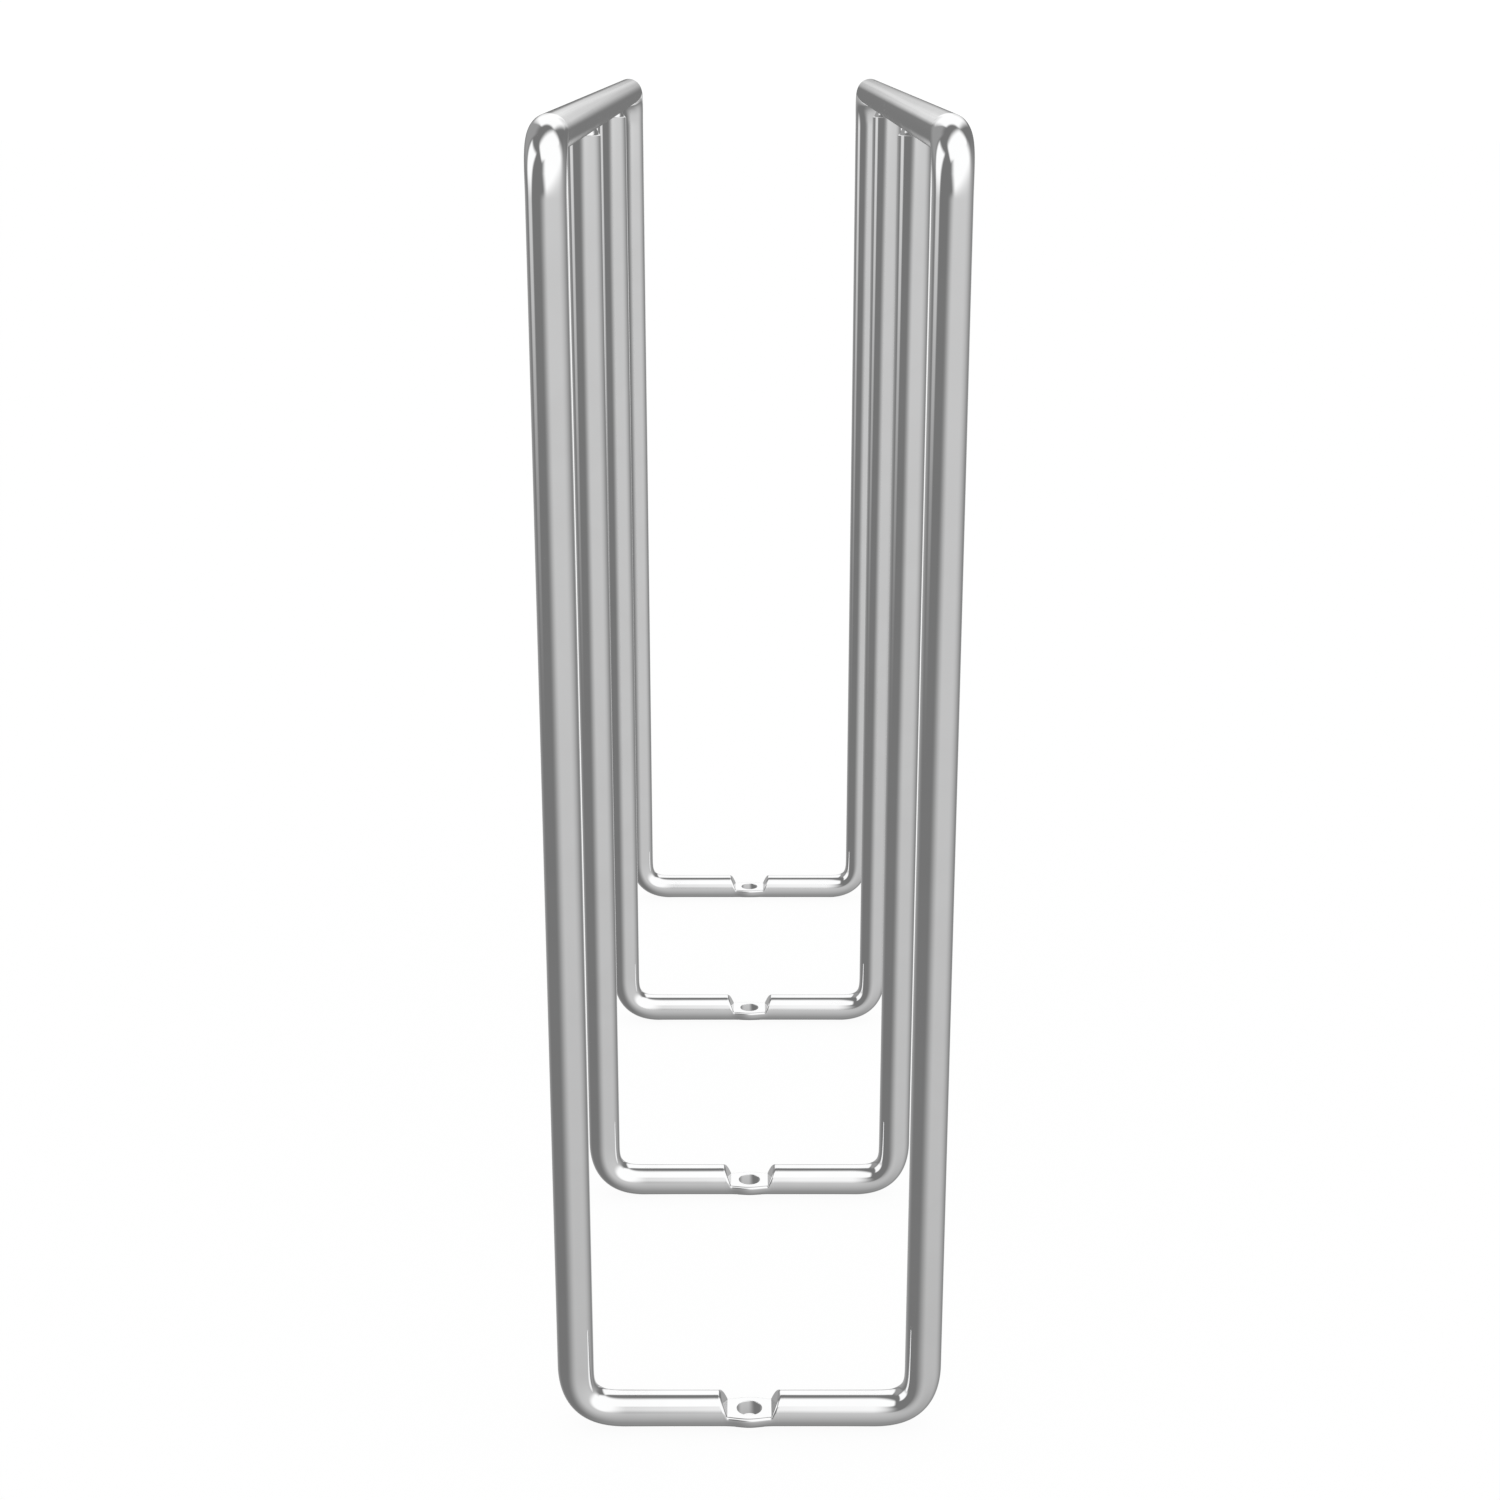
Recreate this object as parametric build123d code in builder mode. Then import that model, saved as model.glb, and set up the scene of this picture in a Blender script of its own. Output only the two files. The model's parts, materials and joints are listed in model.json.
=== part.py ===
from build123d import *
import math
import os

# File rack welded from bright 8 mm rod. Four hoops stand one behind another, and each has a cross bar
# that lies on the mounting plane and a screw tab pressed into the middle of that bar. The two outer
# hoops also carry the top rails, which meet halfway along the rack and rest on the middle hoops' ends.
# Origin: centre of the mounting plane, under the cross bars. +X across the rack, +Y along it, +Z up.

os.makedirs("parts", exist_ok=True)

# Driving dimensions, in millimetres
ROD_D = 8.0  # drawn steel rod, used for every piece
WIDTH_CC = 77.0  # left to right upright, centre to centre
HEIGHT_CC = 274.5  # cross bar centre to top rail centre
OUTER_HOOP_Y = 164.5  # front and rear hoops, either side of the middle
INNER_HOOP_Y = 57.0  # the two middle hoops, either side of the middle
BEND_R = 9.0  # centre-line radius of every bend

# Screw tab pressed into the middle of each cross bar
SCREW_HOLE_D = 5.5  # clears an M5 or No. 10 screw
SEAT_LENGTH = 9.8  # flat that a 9.5 mm screw head sits on
MOUTH_LENGTH = 13.0  # the press dent where it opens through the top of the rod
SPREAD_HALF_WIDTH = 4.7  # the pressed rod spreads to this at the hole
SPREAD_LENGTH = 15.0  # the shape of the spread runs this far, its ends inside the round rod
SPREAD_END_INSET = 0.3  # how far inside the rod's surface those ends are
PAD_HALF_WIDTH = 0.2  # straight lowest part of the spread
PAD_DIP = 0.15  # how far it hangs below the rod before the anvil flattens it

# Welds
RAIL_WELD_LENGTH = 2.0  # butt weld halfway along each top rail, dressed flush
TIP_GAP = 0.35  # between a middle upright's square end and the rail above it
TIP_WELD_SLOPE = 45.0  # of the dressed bead, in degrees
TIP_WELD_HOLLOW = 0.12  # how far the bead's slope dips below a straight line

ROD_R = ROD_D / 2
HALF_WIDTH = WIDTH_CC / 2
BAR_Z = ROD_R  # the cross bars lie on the mounting plane
BAR_TOP_Z = BAR_Z + ROD_R
RAIL_Z = BAR_Z + HEIGHT_CC
TIP_Z = RAIL_Z - ROD_R - TIP_GAP
CLEAR = 2 * ROD_D  # long enough for any cutting shape to pass right through a rod


def spread_section(half_width, height, pad_half_width, depth):
    """Outline across the rod: half an oval above its centre, two quarter ovals and a short line below."""
    EllipticalCenterArc((0, BAR_Z), half_width, height, start_angle=0, arc_size=180)
    for side, start_angle in ((-1, 180), (1, 270)):
        EllipticalCenterArc(
            (side * pad_half_width, BAR_Z),
            half_width - pad_half_width,
            depth,
            start_angle=start_angle,
            arc_size=90,
        )
    Line((-pad_half_width, BAR_Z - depth), (pad_half_width, BAR_Z - depth))


def tab_spread(hoop_y):
    """Middle of a cross bar where pressing has made the rod wider, with a small flat pad under it."""
    end_radius = ROD_R - SPREAD_END_INSET
    end = (end_radius, end_radius, PAD_HALF_WIDTH, end_radius)
    middle = (SPREAD_HALF_WIDTH, ROD_R, PAD_HALF_WIDTH, ROD_R + PAD_DIP)
    stations = ((-SPREAD_LENGTH / 2, end), (0.0, middle), (SPREAD_LENGTH / 2, end))
    with BuildPart(mode=Mode.PRIVATE) as spread:
        for station_x, outline in stations:
            with BuildSketch(Plane((station_x, hoop_y, 0), x_dir=(0, 1, 0), z_dir=(1, 0, 0))):
                with BuildLine():
                    spread_section(*outline)
                make_face()
        loft()
        split(bisect_by=Plane.XY)
    return spread.part


def hoop(name, hoop_y, path_points):
    """One bent rod with its pressed screw tab, written to its own file."""
    with BuildPart() as bent_rod:
        with BuildLine() as path:
            FilletPolyline(*path_points, radius=BEND_R)
        with BuildSketch(Plane(origin=path.wire() @ 0, z_dir=path.wire() % 0)):
            Circle(ROD_R)
        sweep(path=path.wire())

        # The pressed middle takes the place of the round rod
        with Locations((0, hoop_y, BAR_Z)):
            Box(SEAT_LENGTH, CLEAR, CLEAR, mode=Mode.SUBTRACT)
        add(tab_spread(hoop_y))

        # The punch leaves a flat seat between two sloping ends
        with BuildSketch(Plane.XZ.offset(-hoop_y)):
            with BuildLine():
                Polyline(
                    (-SEAT_LENGTH / 2, BAR_Z),
                    (SEAT_LENGTH / 2, BAR_Z),
                    (MOUTH_LENGTH / 2, BAR_TOP_Z),
                    (MOUTH_LENGTH / 2, CLEAR),
                    (-MOUTH_LENGTH / 2, CLEAR),
                    (-MOUTH_LENGTH / 2, BAR_TOP_Z),
                    close=True,
                )
            make_face()
        extrude(amount=CLEAR, both=True, mode=Mode.SUBTRACT)
        with Locations((0, hoop_y, BAR_Z)):
            Hole(SCREW_HOLE_D / 2)
    bent_rod.part.label = name
    export_step(bent_rod.part, f"parts/{name}.step")


def outer_hoop_points(hoop_y, rail_end_y):
    """Front or rear hoop: up both sides, then along both rails to the weld at rail_end_y."""
    left_side = [
        (-HALF_WIDTH, rail_end_y, RAIL_Z),
        (-HALF_WIDTH, hoop_y, RAIL_Z),
        (-HALF_WIDTH, hoop_y, BAR_Z),
    ]
    right_side = [(-x, y, z) for x, y, z in reversed(left_side)]
    return left_side + right_side


def middle_hoop_points(hoop_y):
    """Middle hoop: a plain U whose square ends stop just under the rails."""
    return [
        (-HALF_WIDTH, hoop_y, TIP_Z),
        (-HALF_WIDTH, hoop_y, BAR_Z),
        (HALF_WIDTH, hoop_y, BAR_Z),
        (HALF_WIDTH, hoop_y, TIP_Z),
    ]


def rail_weld(name, rail_x):
    """Butt weld between the front and rear hoops, dressed to the rod's own surface."""
    with BuildPart() as weld:
        with BuildSketch(Plane.XZ.offset(-RAIL_WELD_LENGTH / 2)):
            with Locations((rail_x, RAIL_Z)):
                Circle(ROD_R)
        extrude(amount=RAIL_WELD_LENGTH)
    weld.part.label = name
    export_step(weld.part, f"parts/{name}.step")


def tip_weld(name, rail_x, hoop_y):
    """Bead that fills between an upright's square end and the round underside of its rail."""
    rise = ROD_R * math.tan(math.radians(TIP_WELD_SLOPE))
    top_z = TIP_Z + rise
    normal = (math.sin(math.radians(TIP_WELD_SLOPE)), math.cos(math.radians(TIP_WELD_SLOPE)))
    with BuildPart() as weld:
        with BuildSketch(Plane.XZ.offset(-hoop_y)):
            with BuildLine():
                Line((rail_x, top_z), (rail_x, TIP_Z))
                Line((rail_x, TIP_Z), (rail_x + ROD_R, TIP_Z))
                ThreePointArc(
                    (rail_x + ROD_R, TIP_Z),
                    (
                        rail_x + ROD_R / 2 - TIP_WELD_HOLLOW * normal[0],
                        TIP_Z + rise / 2 - TIP_WELD_HOLLOW * normal[1],
                    ),
                    (rail_x, top_z),
                )
            make_face()
        revolve(axis=Axis((rail_x, hoop_y, 0), (0, 0, 1)))
        with BuildSketch(Plane.XZ.offset(-hoop_y)):
            with Locations((rail_x, RAIL_Z)):
                Circle(ROD_R)
        extrude(amount=CLEAR, both=True, mode=Mode.SUBTRACT)
    weld.part.label = name
    export_step(weld.part, f"parts/{name}.step")


half_weld = RAIL_WELD_LENGTH / 2
hoop("front_hoop", -OUTER_HOOP_Y, outer_hoop_points(-OUTER_HOOP_Y, -half_weld))
hoop("front_middle_hoop", -INNER_HOOP_Y, middle_hoop_points(-INNER_HOOP_Y))
hoop("rear_middle_hoop", INNER_HOOP_Y, middle_hoop_points(INNER_HOOP_Y))
hoop("rear_hoop", OUTER_HOOP_Y, outer_hoop_points(OUTER_HOOP_Y, half_weld))

for side, rail_x in (("left", -HALF_WIDTH), ("right", HALF_WIDTH)):
    rail_weld(f"rail_weld_{side}", rail_x)
    for place, hoop_y in (("front", -INNER_HOOP_Y), ("rear", INNER_HOOP_Y)):
        tip_weld(f"tip_weld_{place}_{side}", rail_x, hoop_y)
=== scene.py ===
"""Looks of the chrome file rack: bent rods, pressed screw tabs, dressed welds and a white studio.

Lengths in the mesh code are in millimetres, and become metres when a mesh is made. +X is across the
rack, +Y along it and +Z up, as in the CAD.
"""

import json
import math
from typing import NamedTuple

import bmesh
import bpy
import numpy as np
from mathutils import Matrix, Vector


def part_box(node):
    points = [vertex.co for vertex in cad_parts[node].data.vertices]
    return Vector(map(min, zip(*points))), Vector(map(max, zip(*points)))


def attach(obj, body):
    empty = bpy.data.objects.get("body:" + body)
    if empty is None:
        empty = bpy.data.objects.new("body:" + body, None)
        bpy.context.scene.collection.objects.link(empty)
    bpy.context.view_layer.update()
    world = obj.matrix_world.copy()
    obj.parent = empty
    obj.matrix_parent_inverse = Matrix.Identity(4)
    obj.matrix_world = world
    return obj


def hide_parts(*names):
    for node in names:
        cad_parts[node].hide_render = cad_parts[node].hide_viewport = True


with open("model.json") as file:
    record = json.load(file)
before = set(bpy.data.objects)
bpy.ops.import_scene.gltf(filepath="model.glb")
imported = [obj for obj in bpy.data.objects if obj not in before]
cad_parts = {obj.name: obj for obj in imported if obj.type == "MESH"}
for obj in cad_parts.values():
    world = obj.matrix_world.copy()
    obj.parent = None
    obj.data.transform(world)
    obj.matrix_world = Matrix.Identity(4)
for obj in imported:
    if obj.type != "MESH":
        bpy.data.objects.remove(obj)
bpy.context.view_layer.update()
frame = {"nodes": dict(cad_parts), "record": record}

# ---------------------------------------------------------------- dimensions from the frame
MM = 1000.0  # millimetres in a metre
mounts = {mount["name"]: mount for mount in frame["record"]["mounts"]}
outer_holes, inner_holes = mounts["outer_screw_holes"], mounts["inner_screw_holes"]
rail_low, rail_high = (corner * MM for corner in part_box("rail_weld_left"))
tip_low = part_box("tip_weld_front_left")[0] * MM

ROD_R = (rail_high.x - rail_low.x) / 2
SIDE_X = -(rail_low.x + rail_high.x) / 2
RAIL_Z = (rail_low.z + rail_high.z) / 2
WELD_END_Y = rail_high.y
TIP_Z = tip_low.z
BAR_Z = outer_holes["pos_m"][2] * MM
HOLE_R = outer_holes["dims"]["hole_r_mm"]
OUTER_Y = outer_holes["dims"]["spacing_y_mm"] / 2
INNER_Y = inner_holes["dims"]["spacing_y_mm"] / 2
HOOP_Y = {
    "front_hoop": -OUTER_Y,
    "front_middle_hoop": -INNER_Y,
    "rear_middle_hoop": INNER_Y,
    "rear_hoop": OUTER_Y,
}

# ---------------------------------------------------------------- bends, tabs and welds
# Bends: a tight arc whose curvature fades in and out, with the rod a little thinner across the bend
BEND_OFFSET = 3.5  # corner of the centre lines to the middle of the bend
BEND_FADE = 0.7  # 0 is a plain arc, 1 has no stretch of constant curvature
BEND_THINNING = 0.08  # share of the radius lost at the bend's inside and outside
BEND_WIDENING = 0.035  # share of the radius gained at its sides

# Screw tab: a flat seat between two sloping walls, pressed into the round rod
SEAT_HALF = 4.9  # half length of the flat
MOUTH_HALF = 6.5  # half length of the dent at the top of the rod
WALL_RUN = MOUTH_HALF - SEAT_HALF
SEAT_EDGE_R = 0.75  # rounding of the seat's long edges
MOUTH_EDGE_R = 0.5  # rounding where the walls meet the round rod
EDGE_CHANGE = 0.3  # one rounding becomes the other this far either side of the seat's end
SPREAD = 0.8  # how far pressing pushes each side of the rod out, at the hole
SPREAD_HALF_LENGTH = 6.0
SPREAD_FROM = 20.0  # degrees round from straight down, where the spread begins
SPREAD_FULL = 70.0
PAD_DIP = 0.15  # metal pushed below the rod and flattened on the anvil
PAD_FADE = 30.0  # degrees round from straight down
HOLE_EDGE_R = 0.15

# Tip welds: a hollow bead from the upright's end to the rail, steeper as it nears the rail
TIP_WELD_FOOT_SLOPE = 0.5
TIP_WELD_STEEPENING = 0.95

# ---------------------------------------------------------------- mesh density
RING_POINTS = 96
RING_TURNS = np.linspace(0, 2 * math.pi, RING_POINTS, endpoint=False)
BEND_RINGS = 36
BEND_STEPS = 2000  # of the sum that finds a bend's curve
STRAIGHT_END_RINGS = np.array([0.4, 1.5, 5.0])  # distances of rings from a straight stretch's ends
STRAIGHT_SPACING = 12.0  # roughly, between its other rings
RAIL_WELD_ROWS = 8
TIP_WELD_ROWS = 24
TIP_WELD_TOP_ROWS = 5

# The hole sits in a square of mesh, from which rows run in to its edge and round it
BLOCK = 3.5  # half size of the square
HALF_BLOCK = 10  # half of its cells, along a side
HOLE_ROWS = (0.35, 0.65, 0.85, 0.95, 1.0)  # as shares of the way in
HOLE_EDGE_TURNS = np.radians((22.5, 45.0, 67.5, 90.0))

# The tab's ring points lie on rays from RAY_Z. From the top, they follow the seat or wall as far as
# HALF_BLOCK, its rounded edge from CORNER_FIRST to CORNER_LAST, and the underside from SIDE_LAST on
RAY_Z = BAR_Z / 2
CORNER_FIRST, CORNER_LAST = 13, 26
SIDE_LAST = RING_POINTS // 2 - HALF_BLOCK
TOP_SHARE = 0.997  # of the rod's radius, the highest place a wall's edge is looked for
FLAT_MARGIN = 1.3  # edge radii kept free beside the wall's even points
FLAT_SHARE = 0.4  # of the wall's width, the least that those points fill
CORNER_MARGIN = 1.2  # edge radii by which the close points start before the corner
CORNER_REACH = 1.6  # edge radii by which they run past it, round the rod
CORNER_SPREAD = 0.5  # share of the spread that has taken place at the corner
LEAST_GAP = 0.02
BLEND_LENGTH = 9.0  # over which the ring points return to even spacing, beyond the mouth
EVENING_STEPS = 12  # smooth the spacing where the points leave the tab, so its shading has no kinks

# Stretches of rings from the middle of the tab outwards: where each ends, and its number of rings
MOUTH_INSIDE = 0.4  # the closest rings start this far before the mouth's end
MOUTH_OUTSIDE = 1.2  # and stop this far past it
TAB_STRETCHES = (
    (BLOCK, HALF_BLOCK),
    (SEAT_HALF, 8),
    (MOUTH_HALF - MOUTH_INSIDE, 13),
    (MOUTH_HALF + MOUTH_OUTSIDE, 28),
    (MOUTH_HALF + BLEND_LENGTH, 24),
)

BISECTIONS = 45
SHARP_ANGLE = 35.0  # degrees between two faces, above which the edge between them stays sharp
TINY = 1e-6  # below any real length or turn


def unit(vector):
    return vector / np.linalg.norm(vector)


def smoothstep(value, start, end):
    """0 before start, 1 past end, and smooth between them."""
    share = np.clip((value - start) / (end - start), 0.0, 1.0)
    return share * share * (3.0 - 2.0 * share)


def bisect(function, low, high):
    """Where a rising function crosses zero, for whole arrays at once."""
    for _ in range(BISECTIONS):
        middle = (low + high) / 2
        below = function(middle) < 0
        low = np.where(below, middle, low)
        high = np.where(below, high, middle)
    return (low + high) / 2


# ---------------------------------------------------------------- the tab's surface
def rod_distance(x, y, z):
    """Distance outside the rod, which is spread near the hole; y is from the rod's axis."""
    share = np.cos(np.clip(np.abs(x) / SPREAD_HALF_LENGTH, 0, 1) * math.pi / 2) ** 2
    angle = np.degrees(np.arctan2(np.abs(y), BAR_Z - z))
    sideways = SPREAD * smoothstep(angle, SPREAD_FROM, SPREAD_FULL)
    down = PAD_DIP * (1 - smoothstep(angle, 0.0, PAD_FADE))
    return np.hypot(y, z - BAR_Z) - ROD_R - share * (sideways + down)


def tab_distance(x, y, z):
    """Distance outside the pressed rod, with rounded edges and its underside flat on the ground."""
    rod = rod_distance(x, y, z)
    wall = (z - BAR_Z) * WALL_RUN - (np.abs(x) - SEAT_HALF) * ROD_R
    cut = np.minimum(z - BAR_Z, wall / math.hypot(WALL_RUN, ROD_R))
    change = smoothstep(np.abs(x), SEAT_HALF - EDGE_CHANGE, SEAT_HALF + EDGE_CHANGE)
    edge = SEAT_EDGE_R + (MOUTH_EDGE_R - SEAT_EDGE_R) * change
    rounded = np.minimum(np.maximum(rod, cut), -edge) + np.hypot(
        np.maximum(rod + edge, 0), np.maximum(cut + edge, 0)
    )
    return np.maximum(rounded, -z)


def tab_ray_angles(x):
    """Directions of a ring's points from RAY_Z, from straight up all the way round."""
    reach = abs(x)
    cut_height = min(max(reach - SEAT_HALF, 0.0) / WALL_RUN * ROD_R, TOP_SHARE * ROD_R)
    cut_z = BAR_Z + cut_height
    corner = math.acos((cut_z - BAR_Z) / ROD_R)
    corner_y = ROD_R * math.sin(corner)
    edge = min(SEAT_EDGE_R if reach < SEAT_HALF else MOUTH_EDGE_R, corner_y / 2)
    flat_y = max(corner_y - FLAT_MARGIN * edge, corner_y * FLAT_SHARE)
    if reach <= BLOCK:
        flat_y = BLOCK
    spread = CORNER_SPREAD * (SPREAD if reach < SEAT_HALF else 0)

    # The right half of the ring: seat or wall, then the underside, then what lies between them
    angles = np.empty(RING_POINTS // 2 + 1)
    angles[: HALF_BLOCK + 1] = np.arctan2(np.linspace(0, flat_y, HALF_BLOCK + 1), cut_z - RAY_Z)
    bottom_y = np.linspace(BLOCK, 0, HALF_BLOCK + 1)
    bottom_z = BAR_Z - np.sqrt(ROD_R**2 - bottom_y**2)
    angles[SIDE_LAST:] = np.arctan2(bottom_y, bottom_z - RAY_Z)

    start_y = max(corner_y + spread - CORNER_MARGIN * edge, flat_y + LEAST_GAP)
    corner_start = max(math.atan2(start_y, cut_z - RAY_Z), angles[HALF_BLOCK])
    past = corner + CORNER_REACH * edge / ROD_R
    corner_end = math.atan2(
        (ROD_R + spread) * math.sin(past), BAR_Z + ROD_R * math.cos(past) - RAY_Z
    )
    knots = (HALF_BLOCK, CORNER_FIRST, CORNER_LAST, SIDE_LAST)
    turns = (angles[HALF_BLOCK], corner_start, corner_end, angles[SIDE_LAST])
    between = np.arange(HALF_BLOCK, SIDE_LAST + 1)
    angles[between] = np.interp(between, knots, turns)

    evened = angles.copy()
    for _ in range(EVENING_STEPS):
        evened[1:-1] = (evened[:-2] + 2 * evened[1:-1] + evened[2:]) / 4
    angles += (evened - angles) * smoothstep(reach, SEAT_HALF, MOUTH_HALF)
    return np.concatenate([angles, 2 * math.pi - angles[-2:0:-1]])


def tab_section(x):
    """One ring of the tab at x: distance to the front of the rod's axis, and height."""
    turn = tab_ray_angles(x)
    reach = bisect(
        lambda distance: tab_distance(
            x, distance * np.sin(turn), RAY_Z + distance * np.cos(turn)
        ),
        np.zeros(RING_POINTS),
        np.full(RING_POINTS, 3 * ROD_R),
    )
    front, height = reach * np.sin(turn), RAY_Z + reach * np.cos(turn)
    spacing = smoothstep(abs(x), MOUTH_HALF, MOUTH_HALF + BLEND_LENGTH)
    if spacing > 0:
        round_turn = np.unwrap(np.arctan2(front, height - BAR_Z))
        radius = np.hypot(front, height - BAR_Z)
        round_turn += (RING_TURNS - round_turn) * spacing
        front, height = radius * np.sin(round_turn), BAR_Z + radius * np.cos(round_turn)
    return front, height


def tab_places():
    """Where the tab's rings stand along the bar, from the middle of the hole."""
    half = [0.0]
    for end, rings in TAB_STRETCHES:
        half.extend(np.linspace(half[-1], end, rings + 1)[1:])
    half = np.array(half)
    return np.concatenate([-half[:0:-1], half])


# ---------------------------------------------------------------- rods
class Station(NamedTuple):
    """A place along a rod where a ring of points stands."""

    centre: np.ndarray
    tangent: np.ndarray
    inside: np.ndarray | None = None  # direction to the inside of the bend
    strength: float = 0.0  # of the bend, at most 1
    tab_x: float | None = None  # place in the screw tab


def bend_curve():
    """A right-angle bend: places along and across, turns, strengths, and reach from the corner."""
    share = np.linspace(0.0, 1.0, BEND_STEPS + 1)
    turn = math.pi / 2 * (share - BEND_FADE * np.sin(2 * math.pi * share) / (2 * math.pi))
    middle_turn = (turn[1:] + turn[:-1]) / 2
    along = np.concatenate([[0.0], np.cumsum(np.cos(middle_turn))])
    across = np.concatenate([[0.0], np.cumsum(np.sin(middle_turn))])
    middle = len(share) // 2
    scale = BEND_OFFSET / math.hypot(along[-1] - along[middle], across[middle])
    strength = np.sin(math.pi * share) ** 2
    shown = np.linspace(0, len(share) - 1, BEND_RINGS + 1).astype(int)
    reach = along[-1] * scale
    return along[shown] * scale, across[shown] * scale, turn[shown], strength[shown], reach


def straight_places(length):
    """Ring places in a straight stretch: close at its ends, so the bends' shading stops there."""
    near, inner = STRAIGHT_END_RINGS[:-1], STRAIGHT_END_RINGS[-1]
    middle = np.linspace(inner, length - inner, max(int(length / STRAIGHT_SPACING), 2))
    return np.concatenate([near, middle, (length - near)[::-1]])


def bar_stations(start, end, go):
    """Stations of a base bar, with the screw tab in its middle."""
    middle = (start + end) / 2
    places = tab_places()
    half = np.linalg.norm(end - start) / 2
    plain = straight_places(half + places[0])
    stations = [Station(start + go * place, go) for place in plain]
    stations += [Station(middle + go * place, go, tab_x=place) for place in places]
    stations += [Station(start + go * (half + places[-1] + place), go) for place in plain]
    return stations


def rod_stations(corners):
    """Stations along a bent rod that runs through the corners."""
    along, across, turn, strength, reach = bend_curve()
    corners = [np.array(corner, float) for corner in corners]
    ways = [unit(after - before) for before, after in zip(corners[:-1], corners[1:])]
    last = len(ways) - 1
    stations = [Station(corners[0], ways[0])]
    for i, go in enumerate(ways):
        start = corners[i] + (go * reach if i > 0 else 0)
        end = corners[i + 1] - (go * reach if i < last else 0)
        is_bar = abs(go[0]) > 0.5
        if is_bar:
            stations += bar_stations(start, end, go)
        else:
            places = straight_places(np.linalg.norm(end - start))
            stations += [Station(start + go * place, go) for place in places]
        if i == last:
            stations.append(Station(end, go))
            break
        after = ways[i + 1]
        for k in range(len(along)):
            point = end + go * along[k] + after * across[k]
            tangent = go * math.cos(turn[k]) + after * math.sin(turn[k])
            inside = after * math.cos(turn[k]) - go * math.sin(turn[k])
            stations.append(Station(point, tangent, inside, strength[k]))
    return stations


def rotate(vector, axis, angle):
    return (
        vector * math.cos(angle)
        + np.cross(axis, vector) * math.sin(angle)
        + axis * (axis @ vector) * (1 - math.cos(angle))
    )


def rod_rings(stations):
    """Rings round the stations that never twist, and each point's place in an unbent rod."""
    normal = np.array((1.0, 0.0, 0.0))
    previous = stations[0]
    length = 0.0
    rings = []
    grain = []
    for station in stations:
        tangent, inside = station.tangent, station.inside
        axis = np.cross(previous.tangent, tangent)
        if np.linalg.norm(axis) > TINY:
            angle = math.atan2(np.linalg.norm(axis), float(previous.tangent @ tangent))
            normal = rotate(normal, unit(axis), angle)
        length += np.linalg.norm(station.centre - previous.centre)
        previous = station
        side = np.cross(tangent, normal)
        if station.tab_x is None:
            front, height = ROD_R * np.sin(RING_TURNS), ROD_R * np.cos(RING_TURNS)
        else:
            front, height = tab_section(station.tab_x)
            height = height - BAR_Z
        ring = np.outer(height, normal) + np.outer(front, side)
        if inside is not None:
            across = np.cross(tangent, inside)
            ring -= np.outer(ring @ inside, inside) * BEND_THINNING * station.strength
            ring += np.outer(ring @ across, across) * BEND_WIDENING * station.strength
        rings.append(station.centre + ring)
        grain.append(np.stack([height, front, np.full(RING_POINTS, length)], axis=1))
    return rings, grain


# ---------------------------------------------------------------- meshes
def band(first, second):
    """Quads that join two rings of point numbers."""
    count = len(first)
    return [
        (first[k], first[(k + 1) % count], second[(k + 1) % count], second[k])
        for k in range(count)
    ]


def link_mesh(name, vertices, faces, grain):
    """A closed mesh object from points in millimetres.

    grain holds each point's place in an unbent rod, in millimetres, for the drawing lines.
    """
    faces = [tuple(face) for face in faces]
    used = sorted({index for face in faces for index in face})
    new_index = {old: new for new, old in enumerate(used)}
    vertices = np.asarray(vertices)[used]
    grain = np.asarray(grain)[used]
    mesh = bpy.data.meshes.new(name)
    mesh.from_pydata(
        [tuple(point) for point in vertices / MM],
        [],
        [[new_index[index] for index in face] for face in faces],
    )
    layer = mesh.attributes.new("grain", "FLOAT_VECTOR", "POINT")
    layer.data.foreach_set("vector", grain.astype(np.float32).ravel())
    mesh.validate()
    mesh.update()
    piece = bpy.data.objects.new(name, mesh)
    bpy.context.scene.collection.objects.link(piece)
    mesh.shade_smooth()
    mesh.set_sharp_from_angle(angle=math.radians(SHARP_ANGLE))

    outward = bmesh.new()
    outward.from_mesh(mesh)
    bmesh.ops.recalc_face_normals(outward, faces=outward.faces)
    outward.to_mesh(mesh)
    outward.free()
    return piece


def stacked_faces(point_count):
    """Faces of a closed shape that is rings one after another, with a face over each end."""
    rows = [range(i, i + RING_POINTS) for i in range(0, point_count, RING_POINTS)]
    faces = [face for lower, upper in zip(rows[:-1], rows[1:]) for face in band(lower, upper)]
    return faces + [rows[0], rows[-1]]


def rod_faces(ring_count, first, last):
    """Faces of a rod with closed ends, open at the two squares between rings first and last."""
    n = RING_POINTS
    top = {k % n for k in range(-HALF_BLOCK, HALF_BLOCK)}
    bottom = set(range(n // 2 - HALF_BLOCK, n // 2 + HALF_BLOCK))
    faces = []
    for i in range(ring_count - 1):
        for k in range(n):
            if first <= i < last and (k in top or k in bottom):
                continue
            a, b = i * n + k, i * n + (k + 1) % n
            faces.append((a, b, b + n, a + n))
    faces.append(tuple(reversed(range(n))))
    faces.append(tuple(range((ring_count - 1) * n, ring_count * n)))
    return faces


def square_outline(centre, first, last):
    """Point numbers round the square between rings first and last, centred on a ring point."""
    low, high = centre - HALF_BLOCK, centre + HALF_BLOCK
    loop = [(first, k) for k in range(low, high)] + [(i, high) for i in range(first, last)]
    loop += [(last, k) for k in range(high, low, -1)] + [(i, low) for i in range(last, first, -1)]
    return [i * RING_POINTS + k % RING_POINTS for i, k in loop]


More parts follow.
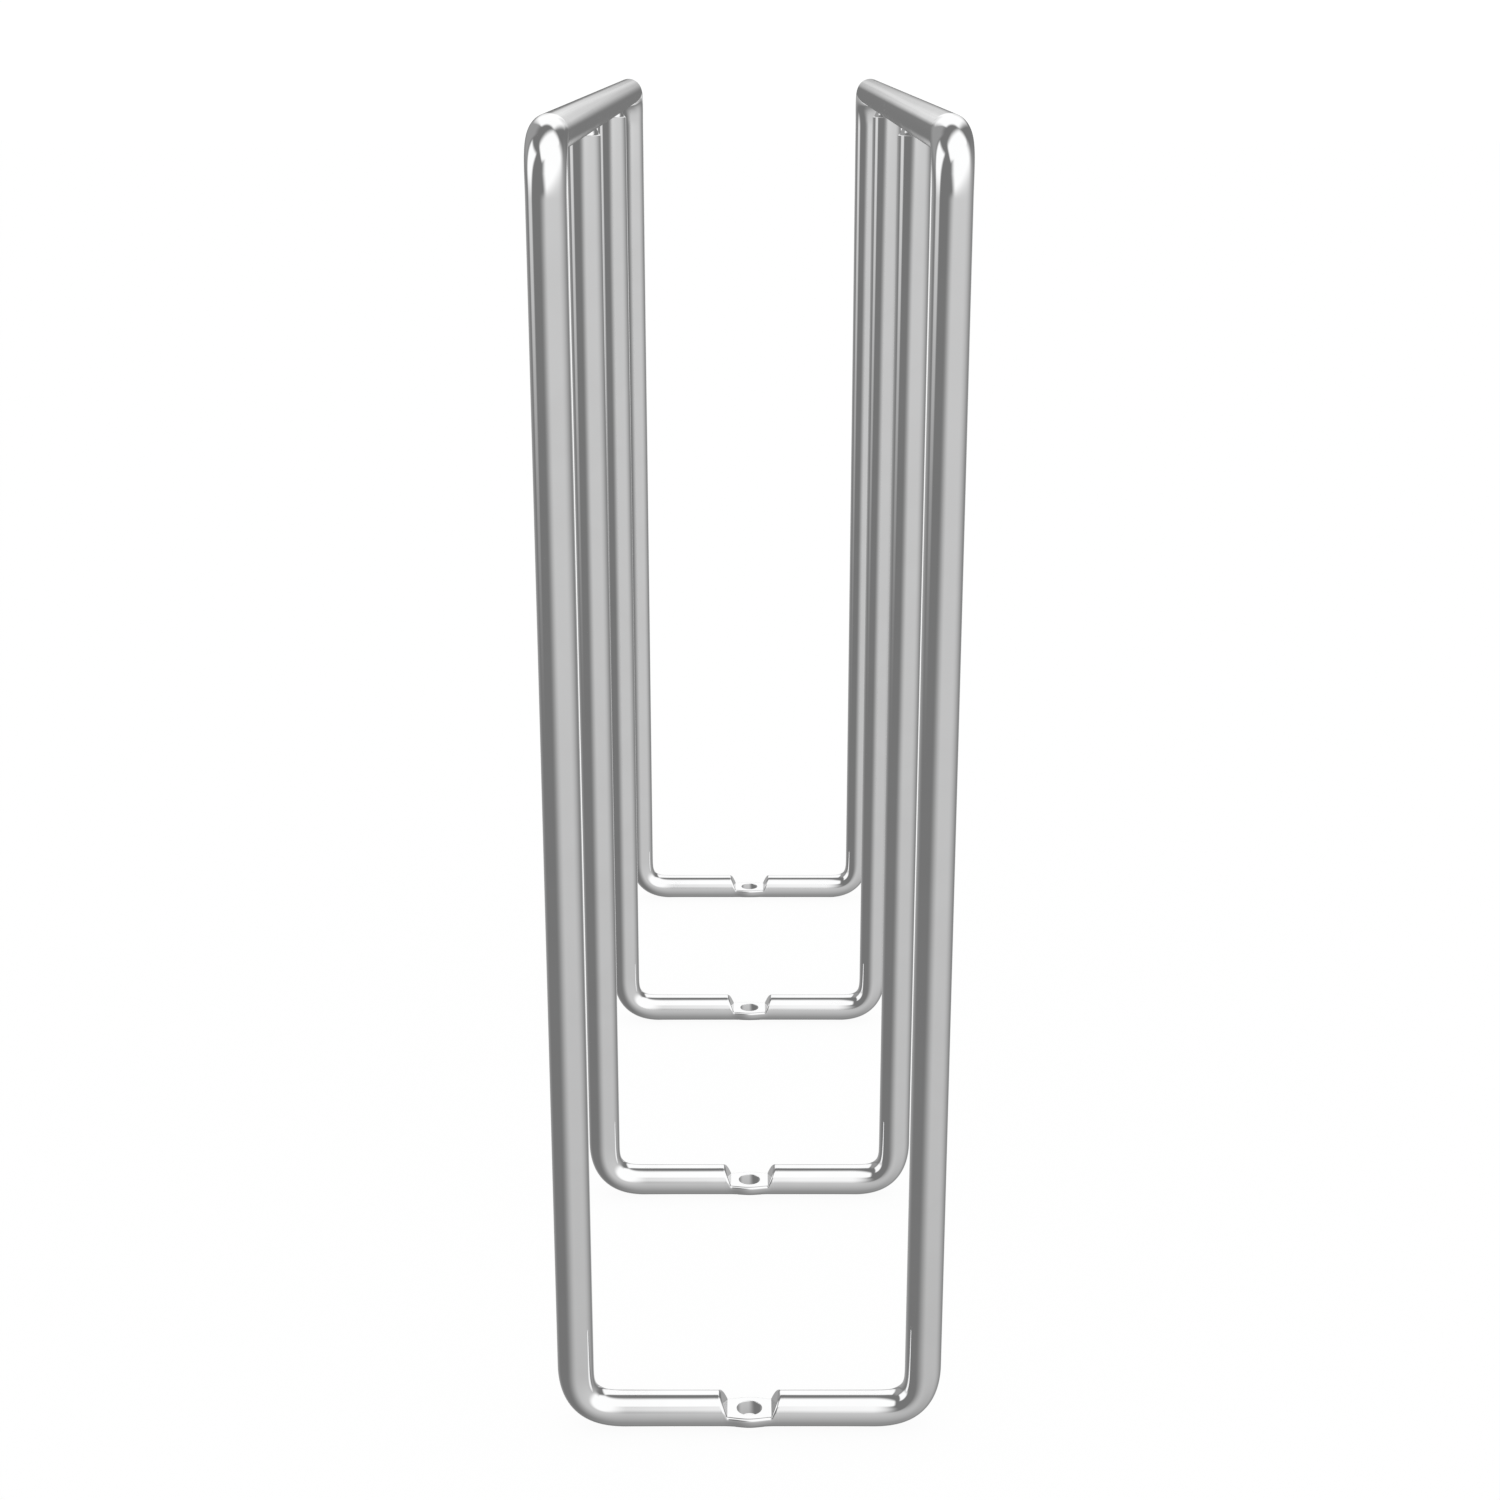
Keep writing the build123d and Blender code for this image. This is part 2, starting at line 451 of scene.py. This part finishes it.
def seat_height(flat):
    """Height of the tab's seat at points across and along it."""
    return np.full(len(flat), BAR_Z)


def underside_height(flat):
    """Height of the tab's underside at points across and along it."""
    x, y = flat[:, 0], flat[:, 1]
    lowest, highest = np.full(len(x), -BAR_Z), np.full(len(x), float(ROD_R))
    return -bisect(lambda drop: tab_distance(x, y, -drop), lowest, highest)


def hole_face(vertices, grain, outline, hoop_y, height_at, sign):
    """Fills a square with rows that run in to the round hole and over its rounded edge.

    Adds the rows' points, and returns the faces and the last row. sign is 1 on top and -1 below.
    """
    count = len(outline)
    outer = np.array([vertices[index][:2] for index in outline]) - (0.0, hoop_y)
    grain_start = grain[outline[0]][2] - outer[0][0]
    grain_side = math.copysign(1, grain[outline[0]][1] * outer[0][1])
    start_turn = math.atan2(outer[0][1], outer[0][0])
    direction = math.copysign(1, outer[0][0] * outer[1][1] - outer[0][1] * outer[1][0])
    turns = start_turn + direction * np.arange(count) * 2 * math.pi / count
    circle = np.stack([np.cos(turns), np.sin(turns)], axis=1)
    rim = circle * (HOLE_R + HOLE_EDGE_R)
    rim_height = height_at(rim)

    rows = [outer + (rim - outer) * share for share in HOLE_ROWS]
    heights = [height_at(row) for row in rows]
    for turn in HOLE_EDGE_TURNS:
        rows.append(circle * (HOLE_R + HOLE_EDGE_R * (1 - math.sin(turn))))
        heights.append(rim_height - sign * HOLE_EDGE_R * (1 - math.cos(turn)))

    faces = []
    previous = outline
    for row, row_heights in zip(rows, heights):
        first = len(vertices)
        for (x, y), z in zip(row, row_heights):
            vertices.append(np.array((x, y + hoop_y, z)))
            grain.append(np.array((z - BAR_Z, grain_side * y, grain_start + x)))
        added = range(first, first + count)
        faces += band(previous, added)
        previous = added
    return faces, previous


def hoop_corners(name):
    """Corners of a hoop's centre line, from its left end to its right end."""
    y = HOOP_Y[name]
    if name in ("front_hoop", "rear_hoop"):
        end_y = math.copysign(WELD_END_Y, y)
        left = [(-SIDE_X, end_y, RAIL_Z), (-SIDE_X, y, RAIL_Z), (-SIDE_X, y, BAR_Z)]
    else:
        left = [(-SIDE_X, y, TIP_Z), (-SIDE_X, y, BAR_Z)]
    return left + [(-x, y, z) for x, y, z in reversed(left)]


def make_hoop(name):
    """One bent rod with its screw tab and hole."""
    hoop_y = HOOP_Y[name]
    stations = rod_stations(hoop_corners(name))
    rings, ring_grain = rod_rings(stations)
    vertices = [point for ring in rings for point in ring]
    grain = [point for ring in ring_grain for point in ring]
    in_block = [
        i
        for i, station in enumerate(stations)
        if station.tab_x is not None and abs(station.tab_x) <= BLOCK + TINY
    ]
    first, last = in_block[0], in_block[-1]
    faces = rod_faces(len(rings), first, last)

    rims = []
    for centre, height_at, sign in ((0, seat_height, 1), (RING_POINTS // 2, underside_height, -1)):
        outline = square_outline(centre, first, last)
        square, rim = hole_face(vertices, grain, outline, hoop_y, height_at, sign)
        faces += square
        rims.append(rim)

    # The hole's wall joins each point of the top rim to the bottom rim's point below it
    top_rim, bottom_rim = rims
    below = []
    for top_index in top_rim:
        point = vertices[top_index][:2]
        below.append(min(bottom_rim, key=lambda index: np.hypot(*(vertices[index][:2] - point))))
    faces += band(top_rim, below)
    return link_mesh(name + "_rod", vertices, faces, grain)


def make_rail_weld(name, rail_x):
    """Butt weld dressed flush: a short stretch of rod between the two hoops' ends."""
    vertices = []
    for y in np.linspace(-WELD_END_Y, WELD_END_Y, RAIL_WELD_ROWS + 1):
        vertices += [
            (rail_x + ROD_R * math.cos(turn), y, RAIL_Z + ROD_R * math.sin(turn))
            for turn in RING_TURNS
        ]
    grain = (np.array(vertices) - (rail_x, 0, RAIL_Z))[:, [0, 2, 1]]
    return link_mesh(name + "_bead", vertices, stacked_faces(len(vertices)), grain)


def make_tip_weld(name, rail_x, hoop_y):
    """Bead from an upright's square end to the underside of its rail."""

    def slope_height(inward):
        """Height of the bead's slope above the upright's end, at a distance in from its edge."""
        return inward * (TIP_WELD_FOOT_SLOPE + TIP_WELD_STEEPENING * inward)

    def rail_height(across):
        return RAIL_Z - np.sqrt(ROD_R**2 - np.minimum(np.abs(across), ROD_R) ** 2)

    def gap(inward):
        return TIP_Z + slope_height(inward) - rail_height((ROD_R - inward) * np.cos(RING_TURNS))

    def ring(radius, height):
        across, along = radius * np.cos(RING_TURNS), radius * np.sin(RING_TURNS)
        return list(zip(rail_x + across, hoop_y + along, height))

    meet = bisect(gap, np.zeros(RING_POINTS), np.full(RING_POINTS, float(ROD_R)))
    vertices = []
    for share in np.linspace(0, 1, TIP_WELD_ROWS + 1):
        vertices += ring(ROD_R - meet * share, TIP_Z + slope_height(meet * share))
    for share in np.linspace(1, 0, TIP_WELD_TOP_ROWS + 1)[1:-1]:
        radius = (ROD_R - meet) * share
        vertices += ring(radius, rail_height(radius * np.cos(RING_TURNS)))
    grain = np.array(vertices) - (rail_x, hoop_y, TIP_Z)
    return link_mesh(name + "_bead", vertices, stacked_faces(len(vertices)), grain)


# ---------------------------------------------------------------- node helpers
class Graph:
    """Short names for the nodes of one node tree."""

    def __init__(self, tree):
        self.tree = tree
        tree.nodes.clear()

    def node(self, kind, inputs=(), **settings):
        made = self.tree.nodes.new(kind)
        for key, value in settings.items():
            setattr(made, key, value)
        for key, value in dict(inputs).items():
            self.feed(made.inputs[key], value)
        return made

    def feed(self, socket, value):
        if isinstance(value, bpy.types.NodeSocket):
            self.tree.links.new(value, socket)
        else:
            socket.default_value = value

    def maths(self, operation, first, second=0.0):
        return self.node("ShaderNodeMath", {0: first, 1: second}, operation=operation).outputs[0]

    def joined(self, operation, values):
        """The values joined two by two, from the first to the last."""
        result = values[0]
        for value in values[1:]:
            result = self.maths(operation, result, value)
        return result

    def product(self, *factors):
        return self.joined("MULTIPLY", factors)

    def total(self, *terms):
        return self.joined("ADD", terms)

    def largest(self, *values):
        return self.joined("MAXIMUM", values)

    def smallest(self, *values):
        return self.joined("MINIMUM", values)

    def difference(self, first, second):
        return self.maths("SUBTRACT", first, second)

    def line(self, value, slope, start):
        """start plus slope times the value."""
        return self.total(self.product(value, slope), start)

    def noise(self, vector, scale, detail, distortion=0.0):
        return self.node(
            "ShaderNodeTexNoise",
            {"Vector": vector, "Scale": scale, "Detail": detail, "Distortion": distortion},
        ).outputs[0]

    def mapped(self, kind, *settings):
        """settings are the value, its start and end, and the results there."""
        inputs = dict(enumerate(settings))
        return self.node("ShaderNodeMapRange", inputs, interpolation_type=kind).outputs[0]

    def ramp(self, value, start, end, low=0.0, high=1.0):
        """Goes smoothly from low at start to high at end."""
        return self.mapped("SMOOTHSTEP", value, start, end, low, high)

    def blend(self, share, low, high):
        """low where share is 0, high where it is 1."""
        return self.mapped("LINEAR", share, 0.0, 1.0, low, high)

    def within(self, *edges):
        """1 inside all edges. An edge is a value, where it starts to rise and where it is full."""
        return self.product(*[self.ramp(value, *rise) for value, rise in edges])

    def panel(self, value, low, high, soft):
        """1 between low and high, with edges that fade over soft."""
        rise = (low - soft / 2, low + soft / 2)
        fall = (high + soft / 2, high - soft / 2)
        return self.within((value, rise), (value, fall))


# ---------------------------------------------------------------- studio
# Levels of light
DARK_WALL = 0.19
SIDE_WALL = 0.33
WHITE_PANEL = 1.08
NADIR = 0.29  # the studio's floor straight below
FLOOR_LIGHT = 1.04  # all round, for the camera and the floor that it sees

# Angles are in degrees. Azimuth is 0 towards the camera and grows to the right; "from back" is 0
# away from the camera and grows to the left; elevation is 0 at the horizon. A pair is a soft edge:
# where it starts to rise, and where it is full; two more numbers are its levels there. A pair whose
# name ends in SLOPE is a line: its slope, and its value at 0.

# Key panel to the front right, whose left side leans to the right near its foot
KEY_LEFT = (-20.0, 7.0)
KEY_RIGHT = (121.0, 86.0)
KEY_TOP = (86.0, 74.0)
KEY_CORNER = 20.0  # elevation below which it leans
KEY_LEAN = 0.4  # degrees to the right for each degree down

# Ceiling panel, in places on a ceiling one unit up; its far side slants, then runs straight
CEILING_LEFT = (-0.58, -0.36)
CEILING_NEAR = (-1.7, -1.1)
CEILING_FAR = (0.2, -0.2)
CEILING_SLOPE = (0.85, 0.05)
CEILING_STRAIGHT = 0.37
CEILING_LOW = (28.0, 44.0)
LEAST_RISE = 0.02  # keeps places on the ceiling finite near the horizon

# Narrow strip on the left, whose right side leans to the right as it rises
STRIP_LEFT = (-115.0, -102.0)
STRIP_RIGHT = (6.0, -6.0)
STRIP_SLOPE = (0.53, -79.0)
STRIP_TOP = (47.0, 37.0)
STRIP_LOW = (-18.0, 9.0)

# The wall on the far left, which catches some light from the rear panel
SIDE_RIGHT = (-107.0, -122.0)
SIDE_LEFT = (-180.0, -168.0)
SIDE_LOW = (-6.0, 14.0)
SIDE_TOP = (64.0, 44.0)

# The key panel's light on the studio floor; its left side grows softer downwards
POOL_SLOPE = (-0.7, 32.0)  # that side's place
POOL_FAN_SLOPE = (-1.0, 37.0)  # and its softness
POOL_RIGHT = (156.0, 66.0)
POOL_CORNER = 20.0  # degrees below the horizon, where the right side starts to lean
POOL_LEAN = 0.6
POOL_TOP = (-95.0, 5.0, 0.3, 0.62)
NADIR_TOP = (-90.0, -60.0)

# Where the front walls meet the floor: a soft line, widest beyond the key panel's right side
FRONT_FOOT = 6.0  # degrees below the horizon
FADE_SLOPE = (0.2, 12.0)  # width of the soft line, rising to the right
FADE_FALL_SLOPE = (-0.6, 116.0)  # and falling again
FADE_LEAST = 8.0

# Rear panel, wider and brighter towards its top
REAR_CENTRE = 1.5  # to the right of straight back
REAR_SLOPE = (1.05, 3.2)  # half width, near the horizon
REAR_UPPER_SLOPE = (0.45, 12.5)  # and higher up
REAR_SIDES = (1.3, 0.7)  # in half widths from the centre
REAR_LEFT = (34.0, 24.0)
REAR_TOP = (64.0, 54.0)
REAR_LOW = (-1.0, 5.0, 0.0, 0.62)
CORE_SIDES = (7.0, 2.0)  # of its middle, which grows bright from lower down and faster
CORE_START_SLOPE = (3.0, -6.0)
CORE_SPAN_SLOPE = (-12.0, 19.0)
CORE_LOW = (0.0, 1.0, 0.0, 0.38)
STREAK_SCALE = 22.0
STREAK_DETAIL = 3.0
STREAK_LEVELS = (0.3, 0.7, -0.2, 0.2)
STREAK_TOP = (16.0, 4.0)

# Narrow glint on the floor straight behind the rack. A triple is low, high and softness
GLINT_WIDTH = (-4.5, 4.0, 4.0)
GLINT_TOP = (-4.0, -7.0)
GLINT_LOW = (-60.0, -44.0)

# The rear panel's light on the floor, with a gap below the panel and two brighter patches
REAR_POOL_RIGHT = (-46.0, -14.0)
REAR_POOL_LEFT = (74.0, 6.0)
REAR_POOL_LOW = (-72.0, -30.0)
REAR_POOL_TOP = (2.0, -4.0)
GAP_WIDTH = (-7.0, 9.0, 6.0)
GAP_LOW = (-9.0, -3.0)
GAP_LEVELS = (1.0, 0.0, 0.0, 0.22)
PATCHES = (  # from back, elevation
    ((-20.0, 0.0, 14.0), (-38.0, -20.0, 14.0)),
    ((-28.0, -8.0, 6.0), (-9.0, -1.0, 4.0)),
)
PATCH_LEVEL = 0.3


class View(NamedTuple):
    """Sockets for the direction in which a ray leaves the scene."""

    direction: bpy.types.NodeSocket
    azimuth: bpy.types.NodeSocket
    from_back: bpy.types.NodeSocket
    elevation: bpy.types.NodeSocket
    ceiling_right: bpy.types.NodeSocket
    ceiling_back: bpy.types.NodeSocket


def view_direction(graph):
    """The direction in degrees, and where it meets a ceiling one unit up."""
    direction = graph.node("ShaderNodeTexCoord").outputs["Generated"]
    x, y, z = graph.node("ShaderNodeSeparateXYZ", {0: direction}).outputs
    to_degrees = 180 / math.pi
    left, front = graph.product(x, -1.0), graph.product(y, -1.0)
    above = graph.maths("MAXIMUM", z, LEAST_RISE)
    return View(
        direction=direction,
        azimuth=graph.product(graph.maths("ARCTAN2", x, front), to_degrees),
        from_back=graph.product(graph.maths("ARCTAN2", left, y), to_degrees),
        elevation=graph.product(graph.maths("ARCSINE", z), to_degrees),
        ceiling_right=graph.maths("DIVIDE", x, above),
        ceiling_back=graph.maths("DIVIDE", y, above),
    )


def front_panels(graph, view):
    """Key panel, ceiling panel and the lit wall on the left: the level above the horizon."""
    azimuth, elevation = view.azimuth, view.elevation
    below_corner = graph.product(graph.difference(KEY_CORNER, elevation), KEY_LEAN)
    key_left = graph.difference(azimuth, graph.largest(below_corner, 0.0))
    key = graph.within((key_left, KEY_LEFT), (azimuth, KEY_RIGHT), (elevation, KEY_TOP))

    far_side = graph.smallest(graph.line(view.ceiling_right, *CEILING_SLOPE), CEILING_STRAIGHT)
    ceiling = graph.within(
        (view.ceiling_right, CEILING_LEFT),
        (graph.difference(view.ceiling_back, far_side), CEILING_FAR),
        (view.ceiling_back, CEILING_NEAR),
        (elevation, CEILING_LOW),
    )
    side_light = graph.within(
        (azimuth, SIDE_RIGHT), (azimuth, SIDE_LEFT), (elevation, SIDE_LOW), (elevation, SIDE_TOP)
    )
    wall = graph.blend(side_light, DARK_WALL, SIDE_WALL)
    return graph.blend(graph.largest(key, ceiling), wall, WHITE_PANEL)


def front_floor(graph, view):
    """The studio floor with the key panel's light on it: the level below the horizon."""
    azimuth, elevation = view.azimuth, view.elevation
    slanted = graph.total(azimuth, graph.line(elevation, *POOL_SLOPE))
    pool_left = graph.maths("DIVIDE", slanted, graph.line(elevation, *POOL_FAN_SLOPE))
    below_corner = graph.smallest(graph.total(elevation, POOL_CORNER), 0.0)
    pool_right = graph.total(azimuth, graph.product(below_corner, POOL_LEAN))
    pool = graph.within((pool_left, (0.0, 1.0)), (pool_right, POOL_RIGHT))
    floor = graph.blend(pool, DARK_WALL, graph.ramp(elevation, *POOL_TOP))
    return graph.blend(graph.ramp(elevation, *NADIR_TOP), NADIR, floor)


def front_studio(graph, view):
    """Everything on the camera's side, and the strip on the left."""
    azimuth, elevation = view.azimuth, view.elevation
    fade = graph.smallest(
        graph.line(azimuth, *FADE_SLOPE), graph.line(azimuth, *FADE_FALL_SLOPE)
    )
    fade = graph.largest(fade, FADE_LEAST)
    height = graph.maths("DIVIDE", graph.total(elevation, FRONT_FOOT), fade)
    front = graph.blend(
        graph.ramp(height, 0.0, 1.0), front_floor(graph, view), front_panels(graph, view)
    )
    leaning_side = graph.difference(azimuth, graph.line(elevation, *STRIP_SLOPE))
    strip = graph.within(
        (azimuth, STRIP_LEFT),
        (leaning_side, STRIP_RIGHT),
        (elevation, STRIP_TOP),
        (elevation, STRIP_LOW),
    )
    return graph.largest(front, graph.blend(strip, DARK_WALL, WHITE_PANEL))


def rear_panel(graph, view):
    """Share of a white panel's level behind the rack: the streaky rear panel and its glint."""
    from_back, elevation = view.from_back, view.elevation
    half_width = graph.smallest(
        graph.line(elevation, *REAR_SLOPE), graph.line(elevation, *REAR_UPPER_SLOPE)
    )
    off_centre = graph.maths("ABSOLUTE", graph.total(from_back, REAR_CENTRE))
    sideways = graph.maths("DIVIDE", off_centre, graph.largest(half_width, 1.0))
    panel = graph.within((sideways, REAR_SIDES), (from_back, REAR_LEFT), (elevation, REAR_TOP))

    core = graph.ramp(off_centre, *CORE_SIDES)
    core_height = graph.total(elevation, graph.line(core, *CORE_START_SLOPE))
    brighter = graph.maths("DIVIDE", core_height, graph.line(core, *CORE_SPAN_SLOPE))
    level = graph.total(graph.ramp(elevation, *REAR_LOW), graph.ramp(brighter, *CORE_LOW))

    noise = graph.noise(view.direction, STREAK_SCALE, STREAK_DETAIL)
    streaks = graph.product(
        graph.ramp(noise, *STREAK_LEVELS), graph.ramp(elevation, *STREAK_TOP)
    )
    glint = graph.product(
        graph.panel(from_back, *GLINT_WIDTH),
        graph.within((elevation, GLINT_TOP), (elevation, GLINT_LOW)),
    )
    return graph.largest(graph.product(panel, level, graph.total(1.0, streaks)), glint)


def rear_floor(graph, view):
    """Level of the floor behind the rack, lit by the rear panel."""
    from_back, elevation = view.from_back, view.elevation
    pool = graph.within(
        (from_back, REAR_POOL_RIGHT),
        (from_back, REAR_POOL_LEFT),
        (elevation, REAR_POOL_LOW),
        (elevation, REAR_POOL_TOP),
    )
    gap = graph.product(graph.panel(from_back, *GAP_WIDTH), graph.ramp(elevation, *GAP_LOW))
    pool = graph.product(pool, graph.ramp(gap, *GAP_LEVELS))
    patches = [
        graph.product(graph.panel(from_back, *width), graph.panel(elevation, *height), PATCH_LEVEL)
        for width, height in PATCHES
    ]
    return graph.total(pool, *patches, DARK_WALL)


def studio_world():
    """White to the camera and the floor, and a studio of soft panels for the chrome to mirror."""
    world = bpy.data.worlds.new("studio")
    bpy.context.scene.world = world
    world.use_nodes = True
    graph = Graph(world.node_tree)
    view = view_direction(graph)
    studio = graph.largest(
        front_studio(graph, view),
        graph.blend(rear_panel(graph, view), DARK_WALL, WHITE_PANEL),
        rear_floor(graph, view),
    )
    path = graph.node("ShaderNodeLightPath")
    plain = graph.largest(path.outputs["Is Camera Ray"], path.outputs["Is Diffuse Ray"])
    level = graph.blend(plain, studio, FLOOR_LIGHT)
    background = graph.node("ShaderNodeBackground", {"Color": (1, 1, 1, 1), "Strength": level})
    graph.node("ShaderNodeOutputWorld", {"Surface": background.outputs[0]})
    world.cycles.sampling_method = "NONE"


# ---------------------------------------------------------------- materials
# Noise scales are per millimetre, because the grain that lays it out is in millimetres
LINE_SCALE = 0.9
LINE_DETAIL = 3.0
LINE_STRETCH = 0.012  # a drawing line's width, as a share of its length
WAVE_SCALE = 0.11
WAVE_DETAIL = 1.0
WAVE_DEPTH = 0.006
SMEAR_SCALE = 0.06
SMEAR_DETAIL = 5.0
SMEAR_DISTORTION = 1.2
SMEARED = (0.4, 0.68)  # noise at which smears begin and are full, and so on below
DUST_SCALE = 2.5
DUST_DETAIL = 4.0
LINED = (0.5, 0.75)
DUSTY = (0.6, 0.75)
EXTRA_ROUGHNESS = (0.0, 0.02)
TINTS = ((0.35, (0.925, 0.927, 0.93, 1)), (0.75, (0.9, 0.9, 0.902, 1)))

# Rods are mirrored in one another only this near, and only below this height
MIRROR_REACH = 34.0
MIRROR_TOP = 60.0

FLOOR_GREY = 0.98
FLOOR_MATT = 0.07  # share of the floor that takes shadows; the rest glows white


def new_material(name):
    material = bpy.data.materials.new(name)
    material.use_nodes = True
    return material, Graph(material.node_tree)


def mirrored_nearby(graph, surface):
    """The surface, but clear to mirrored rays from far off, high up, inside a rod or in a hole.

    The photo's chrome shows the base bars in the feet of the uprights, and little else of the rack.
    """
    path = graph.node("ShaderNodeLightPath")
    geometry = graph.node("ShaderNodeNewGeometry")
    place = graph.node("ShaderNodeSeparateXYZ", {0: geometry.outputs["Position"]})
    far = graph.maths("GREATER_THAN", path.outputs["Ray Length"], MIRROR_REACH / MM)
    high = graph.maths("GREATER_THAN", place.outputs["Z"], MIRROR_TOP / MM)
    sideways = graph.maths("ABSOLUTE", place.outputs["X"])
    in_hole = graph.product(
        graph.maths("LESS_THAN", sideways, (HOLE_R + HOLE_EDGE_R) / MM),
        graph.maths("LESS_THAN", place.outputs["Z"], (BAR_Z - HOLE_EDGE_R / 2) / MM),
    )
    inside = geometry.outputs["Backfacing"]
    unseen = graph.product(
        graph.largest(far, high, in_hole, inside), path.outputs["Is Glossy Ray"]
    )
    clear = graph.node("ShaderNodeBsdfTransparent")
    return graph.node(
        "ShaderNodeMixShader", {0: unseen, 1: surface.outputs[0], 2: clear.outputs[0]}
    )


def chrome_material(name, line_depth, smooth, dull):
    """Chrome on drawn steel: fine lines along the rod, slow waves, and smears that dull it.

    line_depth is in millimetres; smooth and dull are roughnesses.
    """
    material, graph = new_material(name)
    grain = graph.node("ShaderNodeAttribute", attribute_name="grain").outputs["Vector"]
    stretched = graph.node(
        "ShaderNodeVectorMath", {0: grain, 1: (1.0, 1.0, LINE_STRETCH)}, operation="MULTIPLY"
    )
    lines = graph.noise(stretched.outputs[0], LINE_SCALE, LINE_DETAIL)
    waves = graph.noise(grain, WAVE_SCALE, WAVE_DETAIL)
    smears = graph.noise(grain, SMEAR_SCALE, SMEAR_DETAIL, SMEAR_DISTORTION)
    dust = graph.noise(grain, DUST_SCALE, DUST_DETAIL)

    lined = graph.node("ShaderNodeBump", {"Distance": line_depth / MM, "Height": lines})
    wavy = graph.node(
        "ShaderNodeBump",
        {"Distance": WAVE_DEPTH / MM, "Height": waves, "Normal": lined.outputs[0]},
    )
    roughness = graph.total(
        graph.ramp(smears, *SMEARED, smooth, dull),
        graph.ramp(lines, *LINED, *EXTRA_ROUGHNESS),
        graph.ramp(dust, *DUSTY, *EXTRA_ROUGHNESS),
    )
    tint = graph.node("ShaderNodeValToRGB", {0: smears})
    for stop, (position, colour) in zip(tint.color_ramp.elements, TINTS):
        stop.position = position
        stop.color = colour
    surface = graph.node(
        "ShaderNodeBsdfPrincipled",
        {
            "Base Color": tint.outputs[0],
            "Metallic": 1.0,
            "Roughness": roughness,
            "Normal": wavy.outputs[0],
        },
    )
    shown = mirrored_nearby(graph, surface)
    graph.node("ShaderNodeOutputMaterial", {"Surface": shown.outputs[0]})
    return material


def floor_material():
    """White, and almost even, with a trace of the rack's shadow."""
    material, graph = new_material("studio_floor")
    white = graph.node("ShaderNodeEmission", {"Color": (1, 1, 1, 1), "Strength": 1.0})
    matt = graph.node(
        "ShaderNodeBsdfDiffuse", {"Color": (FLOOR_GREY, FLOOR_GREY, FLOOR_GREY, 1)}
    )
    mixed = graph.node(
        "ShaderNodeMixShader", {0: FLOOR_MATT, 1: white.outputs[0], 2: matt.outputs[0]}
    )
    graph.node("ShaderNodeOutputMaterial", {"Surface": mixed.outputs[0]})
    return material


# ---------------------------------------------------------------- build
def fit_piece(piece, material, node_name):
    """Gives a piece its material and puts it on the frame, in place of its CAD node."""
    piece.data.materials.append(material)
    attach(piece, "root")
    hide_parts(node_name)


chrome = chrome_material("chrome_rod", line_depth=0.008, smooth=0.03, dull=0.07)
chrome_dressed = chrome_material("chrome_dressed", line_depth=0.008, smooth=0.035, dull=0.075)
chrome_bead = chrome_material("chrome_bead", line_depth=0.006, smooth=0.12, dull=0.2)

for node_name in HOOP_Y:
    fit_piece(make_hoop(node_name), chrome, node_name)

for node_name in sorted(frame["nodes"]):
    low, high = (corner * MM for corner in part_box(node_name))
    middle = (low + high) / 2
    if node_name.startswith("rail_weld"):
        fit_piece(make_rail_weld(node_name, middle.x), chrome_dressed, node_name)
    elif node_name.startswith("tip_weld"):
        piece = make_tip_weld(node_name, middle.x, middle.y)
        fit_piece(piece, chrome_bead, node_name)

# Floor, seen by the camera; the chrome mirrors the studio's own floor instead
FLOOR_HALF = 6000.0
half = FLOOR_HALF / MM
floor_corners = [(-half, -half, 0.0), (half, -half, 0.0), (half, half, 0.0), (-half, half, 0.0)]
floor_mesh = bpy.data.meshes.new("floor")
floor_mesh.from_pydata(floor_corners, [], [(0, 1, 2, 3)])
floor_mesh.materials.append(floor_material())
floor = bpy.data.objects.new("floor", floor_mesh)
bpy.context.scene.collection.objects.link(floor)
floor.visible_glossy = False

# Camera, from a fit of the photo's perspective
CAMERA_BACK = 450.294  # in front of the front hoop
CAMERA_UP = 294.225  # above the base bars' centres
CAMERA_PITCH = 17.3191  # degrees down
CAMERA_LENS = 55.6404
CAMERA_SENSOR = 36.0
CAMERA_SHIFT = 0.000415333  # share of the sensor's width
CAMERA_CLIP = 10.0
camera = bpy.data.objects.new("camera", bpy.data.cameras.new("camera"))
bpy.context.scene.collection.objects.link(camera)
camera.location = Vector((0, -OUTER_Y - CAMERA_BACK, BAR_Z + CAMERA_UP)) / MM
camera.rotation_euler = (math.radians(90 - CAMERA_PITCH), 0, 0)
camera.data.lens = CAMERA_LENS
camera.data.sensor_width = CAMERA_SENSOR
camera.data.shift_x = CAMERA_SHIFT
camera.data.clip_start = CAMERA_CLIP / MM
bpy.context.scene.camera = camera

studio_world()
bpy.context.scene.view_settings.view_transform = "Standard"
